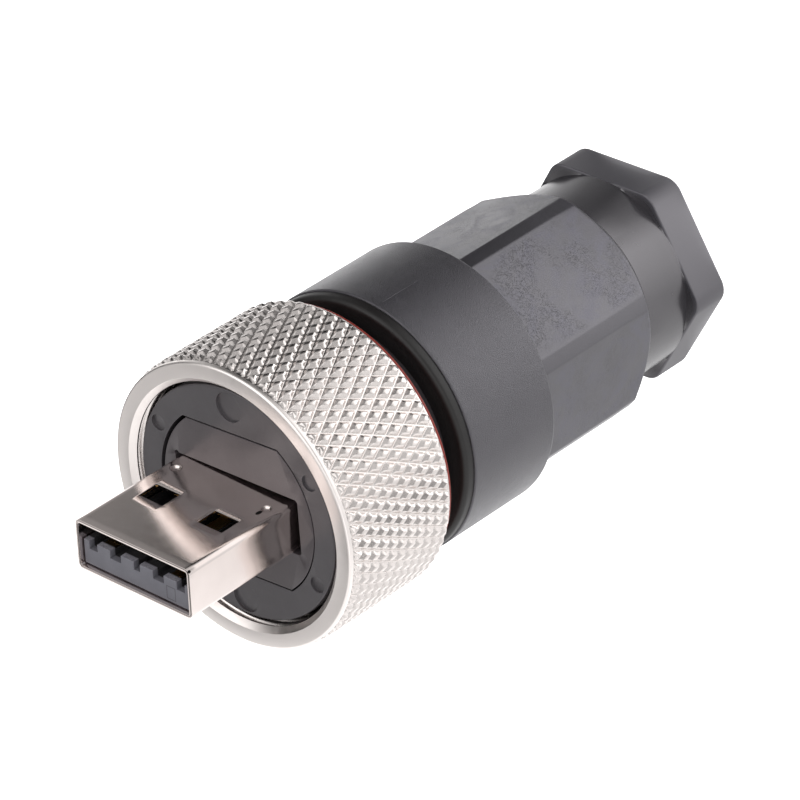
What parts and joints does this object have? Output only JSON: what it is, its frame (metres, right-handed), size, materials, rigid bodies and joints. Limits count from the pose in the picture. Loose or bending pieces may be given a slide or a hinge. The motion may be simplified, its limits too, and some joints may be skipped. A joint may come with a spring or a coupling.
{
  "type": "sealed usb-a cable plug",
  "caption": "Sealed cable-mount USB-A plug with a knurled screw coupling ring, a round collar with a hexagonal grip, and a hexagonal cable gland nut.",
  "frame": {"origin": "on the surface that the plug stands on, under the middle of the gland nut's rear face", "axes": "+Z along the plug from the gland nut to the blade's tip, Y along the blade's wide side, X across its thin side; the plug stands on its nut, because it would roll on its side"},
  "size_m": [0.025, 0.025, 0.06],
  "materials": {
    "bright_nickel": "bright nickel plate on stamped steel",
    "satin_nickel": "satin nickel plate on turned brass, diamond knurl",
    "gold_plate": "gold plate",
    "tinned_steel": "dull tin plate",
    "blue_grey_plastic": "smooth moulded",
    "black_plastic": "smooth moulded, satin",
    "shell_plastic": "fine spark-eroded texture",
    "nut_plastic": "smooth moulded, satin",
    "red_silicone": "silicone rubber",
    "black_rubber": "seal rubber"
  },
  "bodies": {
    "plug_body": {"usb_shell": "bright_nickel", "insulator": "blue_grey_plastic", "contact_vbus": "gold_plate", "contact_data_minus": "gold_plate", "contact_data_plus": "gold_plate", "contact_gnd": "gold_plate", "rear_shield": "tinned_steel", "insert": "black_plastic", "insert_keeper": "black_plastic", "front_housing": "black_plastic", "plug_seal": "black_rubber", "stop_ring": "black_plastic", "body_seal": "black_rubber", "backshell": "shell_plastic", "gland_seal": "black_rubber", "gland_cage": "black_plastic"},
    "ring_carrier": {"ring_washer": "red_silicone"},
    "ring": {"coupling_ring": "satin_nickel"},
    "nut_carrier": {"slip_washer": "black_plastic"},
    "nut": {"gland_nut": "nut_plastic"}
  },
  "joints": [
    {"name": "ring_slide", "type": "slide", "parent": "plug_body", "child": "ring_carrier", "axis": [0, 0, -1], "range_m": [0, 0.0023]},
    {"name": "ring_spin", "type": "hinge", "parent": "ring_carrier", "child": "ring", "pos_m": [0, 0, 0.043], "axis": [0, 0, -1], "continuous": true},
    {"name": "nut_travel", "type": "slide", "parent": "plug_body", "child": "nut_carrier", "axis": [0, 0, -1], "range_m": [0, 0.0045]},
    {"name": "nut_turn", "type": "hinge", "parent": "nut_carrier", "child": "nut", "pos_m": [0, 0, 0.003], "axis": [0, 0, -1], "range_deg": [0, 1080]}
  ],
  "couplings": [
    {"joint": "nut_travel", "follows": "nut_turn", "m_per_rad": 0.00023873}
  ]
}
